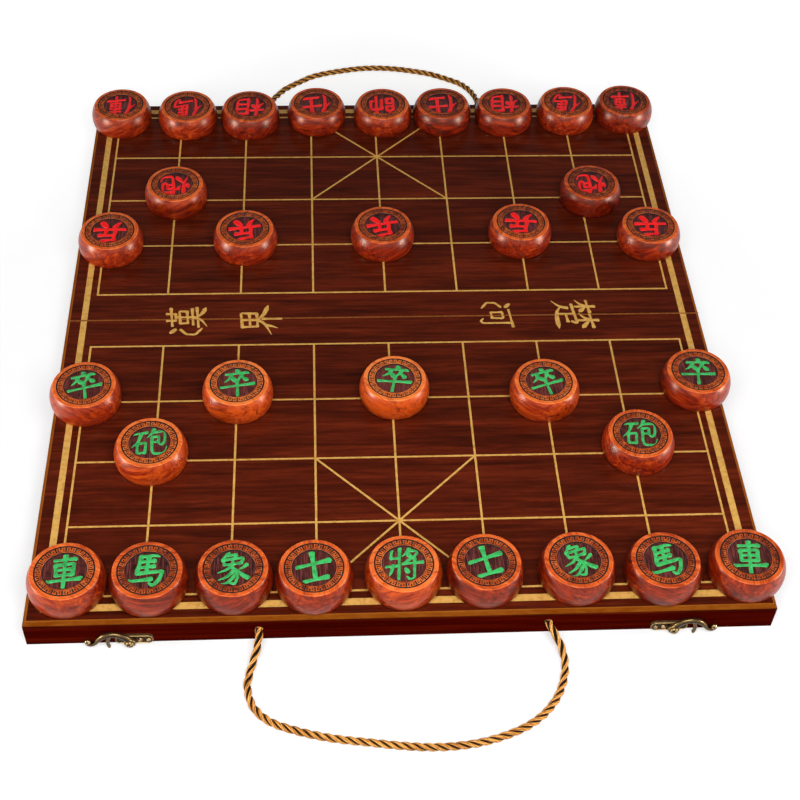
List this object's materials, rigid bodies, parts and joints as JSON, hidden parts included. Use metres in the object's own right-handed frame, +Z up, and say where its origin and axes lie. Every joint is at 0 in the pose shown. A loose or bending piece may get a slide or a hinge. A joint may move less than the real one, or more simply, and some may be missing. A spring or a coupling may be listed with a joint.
{
  "type": "folding xiangqi box with pieces",
  "caption": "Folding xiangqi box laid open as a board: two hinged wooden trays with swing latches and rope handles, and the turned, carved pieces of both sides standing on it.",
  "frame": {"origin": "on the standing surface, under the middle of the fold line of the open box", "axes": "+X along the fold to the right as seen from the green side, +Y from the green side's tray to the red side's tray, +Z up"},
  "size_m": [0.5662, 0.8117, 0.048],
  "materials": {
    "board_wood": "dark mahogany veneer under gloss lacquer",
    "frame_wood": "dark red-brown lacquered wood",
    "rosewood": "reddish rosewood, turned, waxed to a gloss",
    "felt": "short pile felt",
    "rope": "golden brown twisted cord of three strands",
    "bronze": "antique bronze plating, worn bright at the edges"
  },
  "bodies": {
    "rear_tray": {"rear_panel": "board_wood", "rear_back_wall": "frame_wood", "rear_left_wall": "frame_wood", "rear_right_wall": "frame_wood", "rear_hinge_wall": "frame_wood", "rear_lining": "felt", "rear_rope": "rope", "rear_rope_knots": "rope", "catches": "bronze", "catch_screws": "bronze", "rear_hinge_leaves": "bronze", "hinge_pins": "bronze", "rear_hinge_screws": "bronze"},
    "front_tray": {"front_panel": "board_wood", "front_front_wall": "frame_wood", "front_left_wall": "frame_wood", "front_right_wall": "frame_wood", "front_hinge_wall": "frame_wood", "front_lining": "felt", "front_rope": "rope", "front_rope_knots": "rope", "latch_plates": "bronze", "latch_screws": "bronze", "latch_rivets": "bronze", "front_hinge_leaves": "bronze", "front_hinge_screws": "bronze"},
    "latch_left": {"latch_lever_left": "bronze"},
    "latch_right": {"latch_lever_right": "bronze"},
    "green_chariot_1": {"green_chariot_1": "rosewood"},
    "green_horse_1": {"green_horse_1": "rosewood"},
    "green_elephant_1": {"green_elephant_1": "rosewood"},
    "green_advisor_1": {"green_advisor_1": "rosewood"},
    "green_general": {"green_general": "rosewood"},
    "green_advisor_2": {"green_advisor_2": "rosewood"},
    "green_elephant_2": {"green_elephant_2": "rosewood"},
    "green_horse_2": {"green_horse_2": "rosewood"},
    "green_chariot_2": {"green_chariot_2": "rosewood"},
    "green_cannon_1": {"green_cannon_1": "rosewood"},
    "green_cannon_2": {"green_cannon_2": "rosewood"},
    "green_soldier_1": {"green_soldier_1": "rosewood"},
    "green_soldier_2": {"green_soldier_2": "rosewood"},
    "green_soldier_3": {"green_soldier_3": "rosewood"},
    "green_soldier_4": {"green_soldier_4": "rosewood"},
    "green_soldier_5": {"green_soldier_5": "rosewood"},
    "red_chariot_1": {"red_chariot_1": "rosewood"},
    "red_horse_1": {"red_horse_1": "rosewood"},
    "red_elephant_1": {"red_elephant_1": "rosewood"},
    "red_advisor_1": {"red_advisor_1": "rosewood"},
    "red_general": {"red_general": "rosewood"},
    "red_advisor_2": {"red_advisor_2": "rosewood"},
    "red_elephant_2": {"red_elephant_2": "rosewood"},
    "red_horse_2": {"red_horse_2": "rosewood"},
    "red_chariot_2": {"red_chariot_2": "rosewood"},
    "red_cannon_1": {"red_cannon_1": "rosewood"},
    "red_cannon_2": {"red_cannon_2": "rosewood"},
    "red_soldier_1": {"red_soldier_1": "rosewood"},
    "red_soldier_2": {"red_soldier_2": "rosewood"},
    "red_soldier_3": {"red_soldier_3": "rosewood"},
    "red_soldier_4": {"red_soldier_4": "rosewood"},
    "red_soldier_5": {"red_soldier_5": "rosewood"}
  },
  "joints": [
    {"name": "fold", "type": "hinge", "parent": "rear_tray", "child": "front_tray", "pos_m": [0, 0, 0.002], "axis": [1, 0, 0], "range_deg": [0, 180]},
    {"name": "latch_left", "type": "hinge", "parent": "front_tray", "child": "latch_left", "pos_m": [-0.201, -0.3154, 0.0062], "axis": [0, -1, 0], "range_deg": [-70, 61]},
    {"name": "latch_right", "type": "hinge", "parent": "front_tray", "child": "latch_right", "pos_m": [0.201, -0.3154, 0.0062], "axis": [0, 1, 0], "range_deg": [-70, 61]},
    {"name": "lift_green_chariot_1", "type": "slide", "parent": "front_tray", "child": "green_chariot_1", "axis": [0, 0, 1], "range_m": [0, 0.045]},
    {"name": "lift_green_horse_1", "type": "slide", "parent": "front_tray", "child": "green_horse_1", "axis": [0, 0, 1], "range_m": [0, 0.045]},
    {"name": "lift_green_elephant_1", "type": "slide", "parent": "front_tray", "child": "green_elephant_1", "axis": [0, 0, 1], "range_m": [0, 0.045]},
    {"name": "lift_green_advisor_1", "type": "slide", "parent": "front_tray", "child": "green_advisor_1", "axis": [0, 0, 1], "range_m": [0, 0.045]},
    {"name": "lift_green_general", "type": "slide", "parent": "front_tray", "child": "green_general", "axis": [0, 0, 1], "range_m": [0, 0.045]},
    {"name": "lift_green_advisor_2", "type": "slide", "parent": "front_tray", "child": "green_advisor_2", "axis": [0, 0, 1], "range_m": [0, 0.045]},
    {"name": "lift_green_elephant_2", "type": "slide", "parent": "front_tray", "child": "green_elephant_2", "axis": [0, 0, 1], "range_m": [0, 0.045]},
    {"name": "lift_green_horse_2", "type": "slide", "parent": "front_tray", "child": "green_horse_2", "axis": [0, 0, 1], "range_m": [0, 0.045]},
    {"name": "lift_green_chariot_2", "type": "slide", "parent": "front_tray", "child": "green_chariot_2", "axis": [0, 0, 1], "range_m": [0, 0.045]},
    {"name": "lift_green_cannon_1", "type": "slide", "parent": "front_tray", "child": "green_cannon_1", "axis": [0, 0, 1], "range_m": [0, 0.045]},
    {"name": "lift_green_cannon_2", "type": "slide", "parent": "front_tray", "child": "green_cannon_2", "axis": [0, 0, 1], "range_m": [0, 0.045]},
    {"name": "lift_green_soldier_1", "type": "slide", "parent": "front_tray", "child": "green_soldier_1", "axis": [0, 0, 1], "range_m": [0, 0.045]},
    {"name": "lift_green_soldier_2", "type": "slide", "parent": "front_tray", "child": "green_soldier_2", "axis": [0, 0, 1], "range_m": [0, 0.045]},
    {"name": "lift_green_soldier_3", "type": "slide", "parent": "front_tray", "child": "green_soldier_3", "axis": [0, 0, 1], "range_m": [0, 0.045]},
    {"name": "lift_green_soldier_4", "type": "slide", "parent": "front_tray", "child": "green_soldier_4", "axis": [0, 0, 1], "range_m": [0, 0.045]},
    {"name": "lift_green_soldier_5", "type": "slide", "parent": "front_tray", "child": "green_soldier_5", "axis": [0, 0, 1], "range_m": [0, 0.045]},
    {"name": "lift_red_chariot_1", "type": "slide", "parent": "rear_tray", "child": "red_chariot_1", "axis": [0, 0, 1], "range_m": [0, 0.045]},
    {"name": "lift_red_horse_1", "type": "slide", "parent": "rear_tray", "child": "red_horse_1", "axis": [0, 0, 1], "range_m": [0, 0.045]},
    {"name": "lift_red_elephant_1", "type": "slide", "parent": "rear_tray", "child": "red_elephant_1", "axis": [0, 0, 1], "range_m": [0, 0.045]},
    {"name": "lift_red_advisor_1", "type": "slide", "parent": "rear_tray", "child": "red_advisor_1", "axis": [0, 0, 1], "range_m": [0, 0.045]},
    {"name": "lift_red_general", "type": "slide", "parent": "rear_tray", "child": "red_general", "axis": [0, 0, 1], "range_m": [0, 0.045]},
    {"name": "lift_red_advisor_2", "type": "slide", "parent": "rear_tray", "child": "red_advisor_2", "axis": [0, 0, 1], "range_m": [0, 0.045]},
    {"name": "lift_red_elephant_2", "type": "slide", "parent": "rear_tray", "child": "red_elephant_2", "axis": [0, 0, 1], "range_m": [0, 0.045]},
    {"name": "lift_red_horse_2", "type": "slide", "parent": "rear_tray", "child": "red_horse_2", "axis": [0, 0, 1], "range_m": [0, 0.045]},
    {"name": "lift_red_chariot_2", "type": "slide", "parent": "rear_tray", "child": "red_chariot_2", "axis": [0, 0, 1], "range_m": [0, 0.045]},
    {"name": "lift_red_cannon_1", "type": "slide", "parent": "rear_tray", "child": "red_cannon_1", "axis": [0, 0, 1], "range_m": [0, 0.045]},
    {"name": "lift_red_cannon_2", "type": "slide", "parent": "rear_tray", "child": "red_cannon_2", "axis": [0, 0, 1], "range_m": [0, 0.045]},
    {"name": "lift_red_soldier_1", "type": "slide", "parent": "rear_tray", "child": "red_soldier_1", "axis": [0, 0, 1], "range_m": [0, 0.045]},
    {"name": "lift_red_soldier_2", "type": "slide", "parent": "rear_tray", "child": "red_soldier_2", "axis": [0, 0, 1], "range_m": [0, 0.045]},
    {"name": "lift_red_soldier_3", "type": "slide", "parent": "rear_tray", "child": "red_soldier_3", "axis": [0, 0, 1], "range_m": [0, 0.045]},
    {"name": "lift_red_soldier_4", "type": "slide", "parent": "rear_tray", "child": "red_soldier_4", "axis": [0, 0, 1], "range_m": [0, 0.045]},
    {"name": "lift_red_soldier_5", "type": "slide", "parent": "rear_tray", "child": "red_soldier_5", "axis": [0, 0, 1], "range_m": [0, 0.045]}
  ]
}
